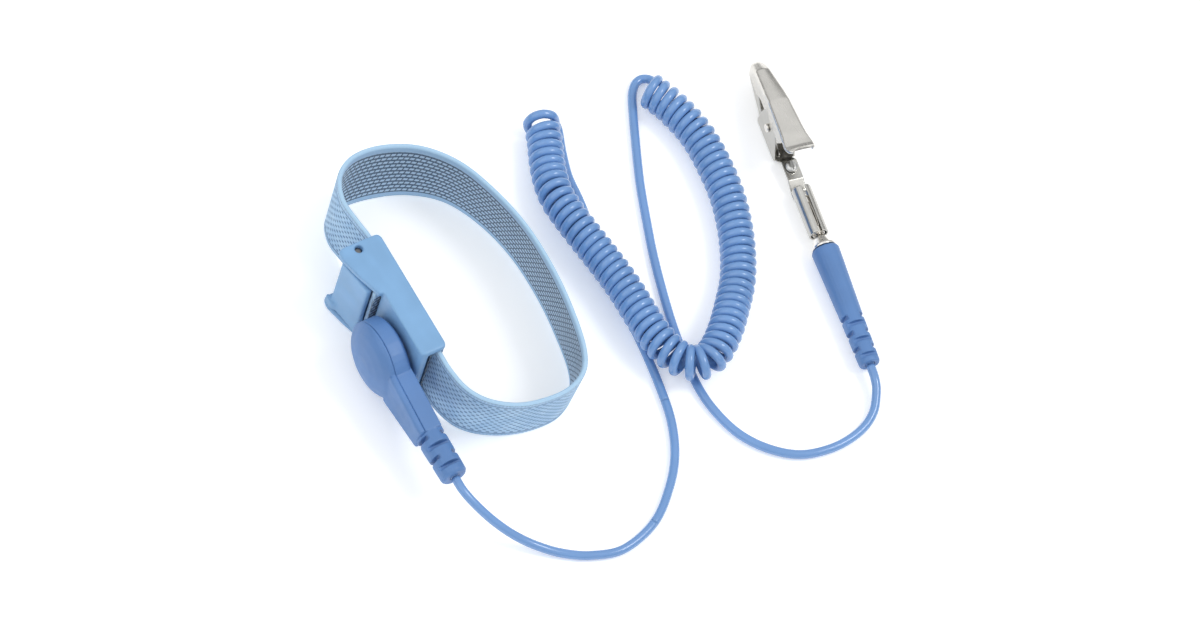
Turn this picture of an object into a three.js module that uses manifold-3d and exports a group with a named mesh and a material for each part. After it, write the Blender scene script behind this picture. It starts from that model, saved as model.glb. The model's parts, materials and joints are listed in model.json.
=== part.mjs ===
// Antistatic wrist strap: elastic band, cam-lever buckle with a press stud, snap connector with its
// 1 megohm resistor, curly cord, banana plug and alligator clip.
// Millimetres. The strap stands on the band's edge. The origin is the centre of the buckle's lower
// side: X runs along the buckle towards the snap's cord exit, -Y is the outer face, Z is up.
import * as THREE from 'three';
import { mergeVertices } from 'three/addons/utils/BufferGeometryUtils.js';
import Module from 'manifold-3d';

const wasm = await Module();
wasm.setup();

// ---- driving dimensions ---------------------------------------------------------------------
const BAND_WIDTH = 22;
const BAND_THICK = 1.3;
const BAND_LINE_Y = 1.75;
const BUCKLE_LENGTH = 35;
const BUCKLE_THICK = 7.2;
const BUCKLE_WIDTH = 26;
const WALL = 2;
const WINDOW_END_X = -2.8;
const PIN_X = -15.6;
const PIN_Y = -3.3;
const STUD_X = 8.3;
const MID_Z = BUCKLE_WIDTH / 2;
const HEAD_RADIUS = 10.2;
const HEAD_FACE_Y = -4.8;
const PARTING_Y = -9.4;
const TAIL_Y = -7.6;
const RELIEF_START_X = 32.5;
const RELIEF_END_X = 45.3;
const CORD_RADIUS = 1.15;
const CORD_BORE = 1.3;
const COIL_RADIUS = 4.65;
const GAP = 0.3;
const CLIP_HEADING = THREE.MathUtils.degToRad(169.7);
const CLIP_ORIGIN = [58.0, 107.9, 4.0];
const BOOT_LENGTH = 33.8;
const JAW_PIVOT = [69.7, 1.8];
const JAW_TIP = 87.3;

// Hand-laid routes, from the place named first to the place named last. BAND_ROUTE is the band's upper
// edge, and BAND_LEAN says how far its lower edge stands aside from each point of that route.
const BAND_ROUTE = [
  [13, BAND_LINE_Y], [17.5, BAND_LINE_Y], [22.5, 1.9], [28.5, 3.6], [33.8, 7.6], [37.6, 13.5],
  [39.2, 20.5], [39, 27.5], [36.2, 33.2], [30.5, 36.6], [20, 39], [8, 40.4], [-5, 40.3], [-17, 38],
  [-28, 33.8], [-36, 27], [-40.3, 18.5], [-41, 10.5], [-37.8, 4.6], [-31.5, 1.6], [-24, 1.3],
  [-17.5, BAND_LINE_Y], [-10.5, BAND_LINE_Y], [-6.6, 1], [-4.5, -1.6], [-3.75, -5.1],
];
const BAND_LEAN = [
  [0, 0], [0, 0], [-0.3, 0.2], [-1.2, 0.8], [-2.2, 1.3], [-2.8, 1.6], [-2.8, 1.6], [-2.9, 1.7],
  [-3.8, 2.2], [-3.8, 2.2], [-3.2, 1.8], [-2.8, 1.6], [-2.8, 1.4], [-2.4, 1], [-1.2, 0], [0.8, -1.4],
  [2.2, -2.4], [2.5, -2.6], [2, -1.4], [1, -0.4], [0.2, 0], [0, 0], [0, 0], [0, 0], [0, 0], [0, 0],
];
const LEAD_SNAP_ROUTE = [
  [45.6, TAIL_Y, MID_Z], [49.5, -7.5, 12.9], [54, -5.6, 10.9], [58.4, -2.5, 7.8], [62.6, 1.4, 4.8],
  [66.6, 6, 2.5], [70.6, 11.3, 1.3], [74.2, 17.8, 1.2], [76, 26.3, 1.2], [72.6, 37, 1.2],
  [65.3, 45.6, 1.2], [58, 51.2, 1.2], [49.4, 55, 1.2], [39.5, 57.2, 1.2], [29.3, 58.7, 1.2],
  [17.3, 59.9, 1.2], [2.3, 61.5, 1.2], [-8.5, 63.8, 1.2], [-15, 64.9, 1.2], [-21.9, 65.7, 1.2],
  [-28.3, 67.6, 1.2], [-32, 69, 1.2], [-33.6, 69.6, 1.3], [-34.8, 69.8, 1.9], [-35.7, 69.5, 3.1],
  [-36.1, 69, 5.3], [-36.5, 67.8, 7.5], [-37.4, 65.5, 8.2], [-38, 63.3, 7.2], [-38.1, 62.3, 5],
  [-37.8, 62.5, 3.2],
];
const COIL_ROUTE = [
  [-35.4, 65, 4.75], [-31.7, 63.7, 4.8], [-23.9, 60.2, 5.2], [-15.7, 57.8, 6.6], [-6.3, 58, 7.4],
  [4.3, 59.3, 7.4], [13.5, 60.2, 7.4], [21.5, 60.3, 7.4], [28.5, 60.5, 7.4], [34.5, 61.6, 7.4],
  [39.2, 64.2, 7.4], [41, 68.5, 7.4], [39.2, 73, 7.2], [35.2, 78, 6.8], [29.6, 83.4, 5.9], [22.8, 89.2, 4.9],
  [13.3, 94.4, 4.75], [2.6, 98.2, 4.75], [-7.6, 99.9, 4.75], [-17.7, 100.2, 4.75], [-27, 98.3, 4.75],
  [-33.6, 95.6, 4.75],
];
const LEAD_CLIP_ROUTE = [
  [-36.3, 98.8, 2.5], [-37.8, 98.2, 1.6], [-38.6, 96.8, 1.3], [-38.3, 95.1, 1.2], [-36.9, 93.4, 1.2],
  [-34.8, 91.9, 1.2], [-31, 90, 1.2], [-25.6, 87.4, 1.2], [-13.3, 81.8, 1.2], [-2.7, 77.7, 1.2],
  [8, 73.9, 1.2], [21.8, 69.9, 1.2], [31.7, 67.7, 1.2], [43.4, 66, 1.2], [51.9, 66.4, 1.2], [60.3, 68.9, 1.2],
  [67.1, 73.8, 1.2], [71.8, 80.5, 1.2], [73.4, 89.1, 1.2], [72.3, 97, 1.2], [69.4, 102.6, 1.7],
  [64.9, 106, 2.9], [61.6, 107.2, 3.8], [58.3, 107.85, 4],
];

// ---- solids from three.js geometry ------------------------------------------------------------
function toSolid(geometry) {
  const bare = geometry.clone();
  bare.deleteAttribute('normal');
  bare.deleteAttribute('uv');
  const merged = mergeVertices(bare, 1e-4);
  const points = Float32Array.from(merged.attributes.position.array);
  const corner = (i) => new THREE.Vector3().fromArray(points, 3 * i);
  const faces = [];
  let volume = 0;
  for (let i = 0; i < merged.index.count; i += 3) {
    const face = [0, 1, 2].map((k) => merged.index.getX(i + k));
    if (new Set(face).size < 3) continue;
    faces.push(face);
    volume += corner(face[0]).dot(corner(face[1]).cross(corner(face[2])));
  }
  if (volume < 0) faces.forEach((face) => face.reverse());
  const triVerts = Uint32Array.from(faces.flat());
  return new wasm.Manifold(new wasm.Mesh({ numProp: 3, vertProperties: points, triVerts }));
}

function toGeometry(solid) {
  const mesh = solid.getMesh();
  const geometry = new THREE.BufferGeometry();
  geometry.setAttribute('position', new THREE.BufferAttribute(mesh.vertProperties, 3));
  geometry.setIndex(new THREE.BufferAttribute(mesh.triVerts, 1));
  geometry.computeVertexNormals();
  return geometry;
}

function joined(...solids) {
  return solids.reduce((sum, solid) => sum.add(solid));
}

function cut(body, ...tools) {
  return tools.reduce((rest, tool) => rest.subtract(tool), body);
}

function block(x, y, z) {
  const geometry = new THREE.BoxGeometry(x[1] - x[0], y[1] - y[0], z[1] - z[0]);
  geometry.translate((x[0] + x[1]) / 2, (y[0] + y[1]) / 2, (z[0] + z[1]) / 2);
  return toSolid(geometry);
}

function extruded(points, depth) {
  const shape = new THREE.Shape(points.map(([a, b]) => new THREE.Vector2(a, b)));
  return new THREE.ExtrudeGeometry(shape, { depth, bevelEnabled: false, curveSegments: 12 });
}

// An outline in X and Y, standing from z[0] to z[1].
function plateXY(points, z) {
  return toSolid(extruded(points, z[1] - z[0]).translate(0, 0, z[0]));
}

// An outline in X and Z, running from y[0] to y[1].
function plateXZ(points, y) {
  return toSolid(extruded(points, y[1] - y[0]).rotateX(Math.PI / 2).translate(0, y[1], 0));
}

function rod(axis, radius, from, to, centre, sides = 24) {
  const geometry = new THREE.CylinderGeometry(radius, radius, to - from, sides);
  const middle = (from + to) / 2;
  if (axis === 'x') geometry.rotateZ(Math.PI / 2).translate(middle, centre[0], centre[1]);
  if (axis === 'y') geometry.translate(centre[0], middle, centre[1]);
  if (axis === 'z') geometry.rotateX(Math.PI / 2).translate(centre[0], centre[1], middle);
  return toSolid(geometry);
}

// A turned piece whose profile gives [radius, place along Y]; the axis is Y through x, z.
function turnedY(profile, x, z, sides = 32) {
  const geometry = new THREE.LatheGeometry(profile.map(([r, y]) => new THREE.Vector2(r, y)), sides);
  return toSolid(geometry.translate(x, 0, z));
}

// A turned piece whose profile gives [place along X, radius]; the axis is X through y, z.
function turnedX(profile, y = 0, z = 0, sides = 24) {
  const geometry = new THREE.LatheGeometry(profile.map(([x, r]) => new THREE.Vector2(r, -x)), sides);
  return toSolid(geometry.rotateZ(Math.PI / 2).translate(0, y, z));
}

function tube(route, radius, steps, sides = 8) {
  const points = route.map((p) => new THREE.Vector3(...p));
  const curve = new THREE.CatmullRomCurve3(points, false, 'catmullrom');
  const section = new THREE.Shape();
  for (let i = 0; i < sides; i += 1) {
    const angle = (2 * Math.PI * i) / sides;
    const corner = [radius * Math.cos(angle), radius * Math.sin(angle)];
    if (i === 0) section.moveTo(...corner);
    else section.lineTo(...corner);
  }
  section.closePath();
  return toSolid(new THREE.ExtrudeGeometry(section, { steps, extrudePath: curve }));
}

// A closed skin through rings of corners, with each ring's corners in the same order.
function lofted(corners, sides) {
  const geometry = new THREE.BufferGeometry();
  geometry.setAttribute('position', new THREE.Float32BufferAttribute(corners, 3));
  const rings = corners.length / 3 / sides;
  const index = [];
  const quad = (a, b, c, d) => index.push(a, b, c, a, c, d);
  for (let ring = 0; ring < rings - 1; ring += 1) {
    for (let k = 0; k < sides; k += 1) {
      const [here, next] = [ring * sides, (ring + 1) * sides];
      quad(here + k, here + ((k + 1) % sides), next + ((k + 1) % sides), next + k);
    }
  }
  const last = (rings - 1) * sides;
  quad(3, 2, 1, 0);
  quad(last, last + 1, last + 2, last + 3);
  return geometry.setIndex(index);
}

function arc(cx, cy, radius, from, to, steps) {
  const points = [];
  for (let i = 0; i <= steps; i += 1) {
    const angle = THREE.MathUtils.degToRad(from + ((to - from) * i) / steps);
    points.push([cx + radius * Math.cos(angle), cy + radius * Math.sin(angle)]);
  }
  return points;
}

function roundedRect(x, y, radius) {
  return [
    ...arc(x[1] - radius, y[1] - radius, radius, 0, 90, 4),
    ...arc(x[0] + radius, y[1] - radius, radius, 90, 180, 4),
    ...arc(x[0] + radius, y[0] + radius, radius, 180, 270, 4),
    ...arc(x[1] - radius, y[0] + radius, radius, 270, 360, 4),
  ];
}

// ---- materials ----------------------------------------------------------------------------------
function finish(color, roughness, metalness = 0) {
  return new THREE.MeshStandardMaterial({ color, roughness, metalness });
}

const LIGHT_BLUE_WEB = finish(0x8fb8dd, 0.95);
const LIGHT_BLUE_PLASTIC = finish(0x7fb0e0, 0.4);
const DARK_BLUE_PLASTIC = finish(0x5b8fd0, 0.45);
const CORD_BLUE = finish(0x78a8e0, 0.4);
const STEEL = finish(0xc9ccd0, 0.25, 1);
const NICKEL = finish(0xd8d8d2, 0.2, 1);
const COPPER = finish(0xc07a45, 0.35, 1);
const RESISTOR_TAN = finish(0xd9c79a, 0.5);

const strap = new THREE.Group();
const clip = new THREE.Group();
clip.position.set(...CLIP_ORIGIN);
clip.rotation.z = CLIP_HEADING;
strap.add(clip);

function piece(name, solid, material, parent = strap) {
  const mesh = new THREE.Mesh(toGeometry(solid), material);
  mesh.name = name;
  parent.add(mesh);
}

// ---- wristband ----------------------------------------------------------------------------------
// One elastic strip on edge, leaning where its loop does. Inside the buckle it runs WALL above the
// floor, and past the buckle its lower edge comes down to the floor. Its loose end turns out through
// the buckle's window.
function bandElastic() {
  const dropRun = [2, 16];
  const nearWallY = 8;
  const count = 92;
  const curveOf = (list) => new THREE.SplineCurve(list.map((p) => new THREE.Vector2(...p)));
  const upper = curveOf(BAND_ROUTE);
  const lean = curveOf(BAND_LEAN);
  const corners = [];
  for (let i = 0; i <= count; i += 1) {
    const point = upper.getPoint(i / count);
    const along = upper.getTangent(i / count);
    const aside = lean.getPoint(i / count);
    const past = Math.max(0, Math.abs(point.x) - BUCKLE_LENGTH / 2);
    const near = point.y < nearWallY ? 1 : 0;
    const rise = WALL * near * (1 - THREE.MathUtils.smoothstep(past, ...dropRun));
    const half = new THREE.Vector2(along.y, -along.x).multiplyScalar(BAND_THICK / 2);
    const foot = point.clone().add(aside);
    const top = rise + BAND_WIDTH;
    corners.push(foot.x + half.x, foot.y + half.y, rise, foot.x - half.x, foot.y - half.y, rise);
    corners.push(point.x - half.x, point.y - half.y, top, point.x + half.x, point.y + half.y, top);
  }
  return toSolid(lofted(corners, 4));
}

// A folded metal strip that grips the band's fixed end in its pocket.
function bandEndCrimp() {
  const outline = [
    [12.2, 0.55], [16, 0.55], [16, 0.9], [12.55, 0.9], [12.55, 2.6], [16, 2.6], [16, 2.9], [12.2, 2.9],
  ];
  return plateXY(outline, [WALL + GAP, BUCKLE_WIDTH - WALL - GAP]);
}

// ---- buckle ---------------------------------------------------------------------------------------
const HALF_LENGTH = BUCKLE_LENGTH / 2;
const HALF_THICK = BUCKLE_THICK / 2;
const CHEEK = [
  [-HALF_LENGTH, HALF_THICK - 1.5], ...arc(-HALF_LENGTH + 1.5, -6.9, 1.5, 180, 262, 5), [-14.6, -8.45],
  [-9.2, -7.1], [-2.3, -4.8], [-2.4, 0.4], [-5, HALF_THICK - 1.5],
];
const INSIDE_Z = [WALL - 0.25, BUCKLE_WIDTH - WALL + 0.25];
const PIN_HOLE = 1.1;

function buckleHousing() {
  const outline = roundedRect([-HALF_LENGTH, HALF_LENGTH], [-HALF_THICK, HALF_THICK], 1.2);
  const hull = plateXY(outline, [0, BUCKLE_WIDTH]);
  const cheeks = joined(plateXY(CHEEK, [0, WALL]), plateXY(CHEEK, [BUCKLE_WIDTH - WALL, BUCKLE_WIDTH]));
  const bay = block([-HALF_LENGTH - 1, WINDOW_END_X], [-9, 2.6], INSIDE_Z);
  const fixedPocket = block([11.6, HALF_LENGTH + 1], [-1.5, 3.05], INSIDE_Z);
  const pinHole = rod('z', PIN_HOLE, -1, BUCKLE_WIDTH + 1, [PIN_X, PIN_Y]);
  const studHole = rod('y', 2.1, -HALF_THICK - 1, HALF_THICK + 1, [STUD_X, MID_Z]);
  return cut(joined(hull, cheeks), bay, fixedPocket, pinHole, studHole);
}

// Cam lever. Its toothed lobe presses the band's loose tail against the housing's skin wall.
function buckleLever() {
  const plate = [
    ...arc(PIN_X, PIN_Y, 1.8, 90, 180, 6), [-16.6, -5.2], [-15.3, -7.4], [-14.6, -8.2], [-9.2, -7.2],
    [-5.1, -6.6], [-4.7, -6.2], [-4.7, -5.1], [-9, -4.3], [-11.2, -1.2],
    [-12.3, 0.55], [-12.75, 0.2], [-13.15, 0.6], [-13.6, 0.15], [-14, 0.5], [-14.5, 0.05], [-15, 0.2],
  ];
  const rib = [[-15.3, -6.9], [-16.5, -8.3], [-16.1, -8.75], [-13.6, -8.75], [-11.8, -7.5]];
  const ribHigh = 2.8;
  const span = [WALL + GAP, BUCKLE_WIDTH - WALL - GAP];
  const body = joined(plateXY(plate, span), plateXY(rib, [span[0], span[0] + ribHigh]));
  return cut(body, rod('z', PIN_HOLE, 0, BUCKLE_WIDTH, [PIN_X, PIN_Y]));
}

function skinPlate() {
  const sheet = plateXZ(roundedRect([-13.5, 15.5], [3, 23], 2.5), [3.65, 4.05]);
  return cut(sheet, rod('y', 3.45, 3, 5, [STUD_X, MID_Z]));
}

// Press stud: its tail is headed over in the skin plate's hole, and its ball stands out of the outer
// face.
function snapStud() {
  return turnedY([
    [0, 4], [2.7, 4], [3.2, 3.85], [3.2, 3.65], [2, 3.65], [2, -3.7], [5.2, -3.7], [5.2, -4.2], [3.6, -4.45],
    [3.6, -5.3], [4.6, -5.7], [4.6, -6.8], [4, -7.4], [0, -7.4],
  ], STUD_X, MID_Z);
}

piece('band_elastic', bandElastic(), LIGHT_BLUE_WEB);
piece('band_end_crimp', bandEndCrimp(), STEEL);
piece('buckle_housing', buckleHousing(), LIGHT_BLUE_PLASTIC);
piece('buckle_lever', buckleLever(), LIGHT_BLUE_PLASTIC);
piece('lever_pin', rod('z', 1, 1.4, BUCKLE_WIDTH - 1.4, [PIN_X, PIN_Y]), STEEL);
piece('skin_plate', skinPlate(), STEEL);
piece('snap_stud', snapStud(), NICKEL);

// ---- snap connector -----------------------------------------------------------------------------
function tailOutline(from, grow) {
  return [
    [from, MID_Z - 6.2 - grow], [RELIEF_START_X, MID_Z - 3.7 - grow],
    [RELIEF_START_X, MID_Z + 3.7 + grow], [from, MID_Z + 6.2 + grow],
  ];
}

// Cross-cuts that let a relief bend: slots on the two faces take turns with notches in the two sides.
function reliefCuts(rows, face, side, half) {
  const slotLong = 1.15;
  const reach = half * 0.92;
  return rows.flatMap(([x, kind]) => {
    const across = [x - slotLong / 2, x + slotLong / 2];
    if (kind === 'slot') {
      return [
        block(across, [face[0] - half - 1, face[0] - face[1]], [side[0] - reach, side[0] + reach]),
        block(across, [face[0] + face[1], face[0] + half + 1], [side[0] - reach, side[0] + reach]),
      ];
    }
    return [
      block(across, [face[0] - half - 1, face[0] + half + 1], [side[0] - half - 2, side[0] - side[1]]),
      block(across, [face[0] - half - 1, face[0] + half + 1], [side[0] + side[1], side[0] + half + 2]),
    ];
  });
}

function snapHousing() {
  const disc = turnedY([
    [0, HEAD_FACE_Y], [9.4, HEAD_FACE_Y], [HEAD_RADIUS, -5.6], [HEAD_RADIUS, PARTING_Y], [0, PARTING_Y],
  ], STUD_X, MID_Z, 40);
  const tail = plateXZ(tailOutline(STUD_X + 5, 0), [PARTING_Y, -4.9]);
  const relief = turnedX([
    [30, 0], [30, 3.7], [RELIEF_START_X, 3.7], [RELIEF_END_X - 0.6, 3.5], [RELIEF_END_X, 3],
    [RELIEF_END_X, 0],
  ], TAIL_Y, MID_Z, 20);
  const lowerRelief = cut(relief, block([29, RELIEF_START_X], [-12, PARTING_Y], [5, 21]));
  const mouth = rod('y', 6, -8, -4, [STUD_X, MID_Z], 32);
  const hollow = rod('y', 8.4, PARTING_Y - 1, -6.4, [STUD_X, MID_Z], 32);
  const channel = block([15, 30.8], [PARTING_Y - 1, -6.1], [MID_Z - 2, MID_Z + 2]);
  const bore = rod('x', CORD_BORE, 30, RELIEF_END_X + 1, [TAIL_Y, MID_Z], 16);
  const rows = [[33.8, 'slot'], [36.7, 'notch'], [39.7, 'slot'], [42.6, 'notch']];
  const cuts = reliefCuts(rows, [TAIL_Y, 1.65], [MID_Z, 1.65], 3.7);
  return cut(joined(disc, tail, lowerRelief), mouth, hollow, channel, bore, ...cuts);
}

// Domed cover over the head, with the outer half of the tail.
function snapCap() {
  const rim = PARTING_Y - 0.1;
  const dome = turnedY([
    [0, -13.4], [3.2, -13.25], [6, -12.7], [8.2, -11.8], [9.6, -10.7], [HEAD_RADIUS, rim - 0.3],
    [HEAD_RADIUS, rim], [8.6, rim], [8.2, -10.2], [6.8, -11], [4, -11.7], [0, -12],
  ], STUD_X, MID_Z, 40);
  const tail = plateXZ(tailOutline(STUD_X + 8.3, -0.1), [-11.1, rim]);
  return joined(dome, tail);
}

function snapSocket() {
  return turnedY([
    [0, -8.1], [5.8, -8.1], [5.8, -7.2], [7.4, -7.2], [7.4, -6.7], [5.8, -6.7], [5.8, -4.95], [5.35, -4.95],
    [5.35, -7.65], [0, -7.65],
  ], STUD_X, MID_Z);
}

function socketSpring() {
  const wire = new THREE.TorusGeometry(4.95, 0.24, 6, 32).rotateX(Math.PI / 2);
  return toSolid(wire.translate(STUD_X, -5.25, MID_Z));
}

function resistorLead() {
  const route = [
    [19.2, -7.8, MID_Z], [17.6, -7.85, MID_Z], [15.6, -8.4, MID_Z], [13.8, -8.75, MID_Z],
    [11, -8.75, MID_Z],
  ];
  return tube(route, 0.28, 8);
}

const RESISTOR_BODY = [
  [19.5, 0], [19.5, 1], [19.9, 1.2], [21, 1.2], [21.3, 1], [24.4, 1], [24.7, 1.2], [25.8, 1.2],
  [26.2, 1], [26.2, 0],
];

piece('snap_housing', snapHousing(), DARK_BLUE_PLASTIC);
piece('snap_cap', snapCap(), DARK_BLUE_PLASTIC);
piece('snap_socket', snapSocket(), NICKEL);
piece('socket_spring', socketSpring(), STEEL);
piece('resistor_body', turnedX(RESISTOR_BODY, -7.8, MID_Z, 16), RESISTOR_TAN);
piece('resistor_lead_socket', resistorLead(), NICKEL);
piece('resistor_lead_cord', rod('x', 0.28, 26.5, 28.6, [-7.8, MID_Z], 8), NICKEL);
piece('wire_end_snap', rod('x', 0.55, 28.9, 30.7, [TAIL_Y, MID_Z], 10), COPPER);
piece('cord_end_snap', rod('x', CORD_RADIUS, 31, RELIEF_END_X, [TAIL_Y, MID_Z], 12), CORD_BLUE);

// ---- cord -----------------------------------------------------------------------------------------
piece('cord_lead_snap', tube(LEAD_SNAP_ROUTE, CORD_RADIUS, 72), CORD_BLUE);
piece('cord_coil', tube(COIL_ROUTE, COIL_RADIUS, 40, 12), CORD_BLUE);
piece('cord_lead_clip', tube(LEAD_CLIP_ROUTE, CORD_RADIUS, 72), CORD_BLUE);

// ---- plug -----------------------------------------------------------------------------------------
// In the clip's own group X runs from the boot's cord exit to the jaws' tip, and Y = Z = 0 is the
// axis of the boot, plug and barrel.
function plugBoot() {
  const body = turnedX([
    [0, 0], [0, 2.5], [0.6, 2.75], [14, 3], [BOOT_LENGTH - 0.5, 3.65], [BOOT_LENGTH, 3.4], [BOOT_LENGTH, 0],
  ]);
  const cordBore = rod('x', CORD_BORE, -1, 17, [0, 0], 16);
  const stemBore = rod('x', 2.3, 16, BOOT_LENGTH + 1, [0, 0], 16);
  const rows = [1.9, 4.2, 6.4, 8.7, 11, 13.2].map((x, i) => [x, i % 2 === 0 ? 'slot' : 'notch']);
  const cuts = reliefCuts(rows, [0, 1.6], [0, 1.6], 2.8).map((tool) => tool.rotate([90, 0, 0]));
  return cut(body, cordBore, stemBore, ...cuts);
}

function bananaPlug() {
  return turnedX([
    [18, 0], [18, 2], [BOOT_LENGTH + 0.3, 2], [BOOT_LENGTH + 0.3, 3.3], [BOOT_LENGTH + 0.8, 3.3],
    [37.2, 1.95], [37.8, 1.25], [49.2, 1.25], [49.8, 0.7], [49.8, 0],
  ]);
}

// Bowed sleeve of four leaves that grips the inside of the clip's barrel.
function plugSpring() {
  const sleeve = turnedX([
    [38.4, 1.4], [38.4, 1.65], [40, 1.7], [43.5, 1.95], [47, 1.7], [48.6, 1.65], [48.6, 1.4], [47, 1.42],
    [43.5, 1.66], [40, 1.42], [38.4, 1.4],
  ]);
  const slots = [block([40, 47], [-3, 3], [-0.3, 0.3]), block([40, 47], [-0.3, 0.3], [-3, 3])];
  return cut(sleeve, ...slots);
}

piece('plug_boot', plugBoot(), DARK_BLUE_PLASTIC, clip);
piece('banana_plug', bananaPlug(), NICKEL, clip);
piece('plug_spring', plugSpring(), NICKEL, clip);
piece('cord_end_plug', rod('x', CORD_RADIUS, 0, 15.4, [0, 0], 12), CORD_BLUE, clip);
piece('wire_end_plug', rod('x', 0.55, 15.7, 17.7, [0, 0], 10), COPPER, clip);

// ---- alligator clip -----------------------------------------------------------------------------
const SHEET = 0.5;
const EAR_OUTER = 2.9;
const JAW_OUTER = 2.2;
const RIVET_HOLE = 0.72;

function walls(outline, outer) {
  return joined(plateXZ(outline, [outer - SHEET, outer]), plateXZ(outline, [-outer, -outer + SHEET]));
}

// The jaws narrow from the pivot to the tip.
function tapered(solid) {
  return solid.warp((point) => {
    const ahead = THREE.MathUtils.clamp((point[0] - 76) / (JAW_TIP - 76), 0, 1);
    point[1] *= 1 - 0.42 * ahead;
  });
}

function teeth(from, to, side) {
  const count = 6;
  const depth = 0.3;
  const points = [];
  for (let i = 0; i <= 2 * count; i += 1) {
    const t = i / (2 * count);
    const bite = i % 2 === 0 ? 0 : depth * side;
    points.push([from[0] + (to[0] - from[0]) * t, from[1] + (to[1] - from[1]) * t + bite]);
  }
  return points;
}

function clipLowerJaw() {
  const [px, pz] = JAW_PIVOT;
  const ear = [
    ...arc(px, pz, 4.8, 12, 168, 14), [64, 0.4], [62.6, -3.2], [63.2, -3.7], [71.5, -3.7], [75.3, -3],
  ];
  const front = [
    [74.2, -3.3], [JAW_TIP - 0.3, -0.9], [JAW_TIP, 0.1], ...teeth([86.8, 0.35], [79.4, 1.45], -1),
    [78.2, 0.6], [76.4, -0.5], [74.2, -0.5],
  ];
  const floorLine = [
    [62.6, -3.7], [71.5, -3.7], [JAW_TIP - 0.3, -1.3], [JAW_TIP - 0.3, -0.8], [71.5, -3.2], [62.6, -3.2],
  ];
  const floor = plateXZ(floorLine, [-JAW_OUTER, JAW_OUTER]);
  const earFloor = block([63, 75], [-EAR_OUTER, EAR_OUTER], [-3.7, -3.2]);
  const jogGap = block([73, 76], [-1.7, 1.7], [-3.2, 1]);
  const jog = cut(block([74.2, 75], [-EAR_OUTER, EAR_OUTER], [-3.7, -1.2]), jogGap);
  const tipLine = [[86.5, -1.3], [JAW_TIP, -0.9], [JAW_TIP, 0.1], [86.5, 0]];
  const tip = plateXZ(tipLine, [-JAW_OUTER, JAW_OUTER]);
  const neck = plateXZ([
    [50.5, -2.6], [52.6, -2.6], [55.4, -1.2], [60.4, -1.2], [62.4, -3.7], [63.4, -3.7], [63.4, -3.2],
    [62.7, -3.2], [60.7, -0.7], [55.2, -0.7], [52.4, -2.1], [50.5, -2.1],
  ], [-2.1, 2.1]);
  const barrel = cut(
    rod('x', 2.6, 38.2, 51.8, [0, 0]),
    rod('x', 2.1, 37, 53, [0, 0]),
    block([37, 53], [-0.45, 0.45], [0, 3]),
  );
  const rivet = rod('y', RIVET_HOLE, -4, 4, JAW_PIVOT, 16);
  const screwHole = rod('z', 1, -3, 1, [58.6, 0], 16);
  const sides = joined(walls(ear, EAR_OUTER), walls(front, JAW_OUTER));
  const jaw = joined(sides, floor, earFloor, jog, tip, neck, barrel);
  return tapered(cut(jaw, rivet, screwHole));
}

function clipUpperJaw() {
  const [px, pz] = JAW_PIVOT;
  const wall = [
    ...arc(px, pz, 2, 200, 340, 8), [73.2, 3.6], [76.6, 3.6], [78.4, 2.7],
    ...teeth([79.4, 1.85], [86.8, 0.75], -1), [JAW_TIP, 0.9], [JAW_TIP, 2.8], [83.7, 5.2], [73, 8.3],
    [62.2, 9.4], [62.2, 6.3], [64.4, 2.9], [66.6, 1.6],
  ];
  const roofLine = [
    [57, 10.9], [58.6, 9.7], [62.2, 9.4], [73, 8.3], [83.7, 5.2], [JAW_TIP, 2.8], [JAW_TIP, 3.4], [83.8, 5.75],
    [73.1, 8.85], [62.2, 9.95], [58.8, 10.2], [57.3, 11.3],
  ];
  const roof = plateXZ(roofLine, [-3.3, 3.3]);
  const planLine = [
    [56, -3.3], [64, -2.9], [76, -2.4], [88, -2.2], [88, 2.2], [76, 2.4], [64, 2.9], [56, 3.3],
  ];
  const plan = plateXY(planLine, [-5, 15]);
  const tipLine = [[86.7, 0.9], [JAW_TIP, 0.9], [JAW_TIP, 3], [86.7, 3]];
  const tip = plateXZ(tipLine, [-JAW_OUTER, JAW_OUTER]);
  const rivet = rod('y', RIVET_HOLE, -4, 4, JAW_PIVOT, 16);
  return tapered(cut(joined(walls(wall, JAW_OUTER), roof.intersect(plan), tip), rivet));
}

function clipPivotRivet() {
  const shank = rod('y', 0.6, -3.1, 3.1, JAW_PIVOT, 16);
  return joined(shank, rod('y', 1.15, 3, 3.5, JAW_PIVOT, 16), rod('y', 1.15, -3.5, -3, JAW_PIVOT, 16));
}

// Torsion spring on the rivet: its winding and two legs, one on the floor and one under the thumb
// plate.
function clipSpring() {
  const [px, pz] = JAW_PIVOT;
  const winding = cut(rod('y', 2, -1.2, 1.2, JAW_PIVOT, 20), rod('y', 1, -2, 2, JAW_PIVOT, 20));
  const lowerLeg = plateXZ([[px, pz - 1.8], [63.6, -2.9], [63.6, -2.4], [px, pz - 1.3]], [0.5, 1]);
  const upperLine = [[px - 0.4, pz + 1.3], [px - 0.4, pz + 1.8], [62.5, 8.7], [62.1, 8.5], [66, 4.6]];
  const upperLeg = plateXZ(upperLine, [-1, -0.5]);
  return joined(winding, lowerLeg, upperLeg);
}

function clipScrew() {
  const profile = [[-0.4, 0], [-0.4, 1.6], [0.25, 1.5], [0.6, 0.9], [0.65, 0]];
  const head = turnedX(profile, 0, 0, 20).rotate([0, -90, 0]);
  const slot = block([-2, 2], [-0.2, 0.2], [0.3, 1]);
  const shank = rod('z', 0.85, -2.6, -0.3, [0, 0], 16);
  return joined(cut(head, slot), shank).translate([58.6, 0, 0]);
}

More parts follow.
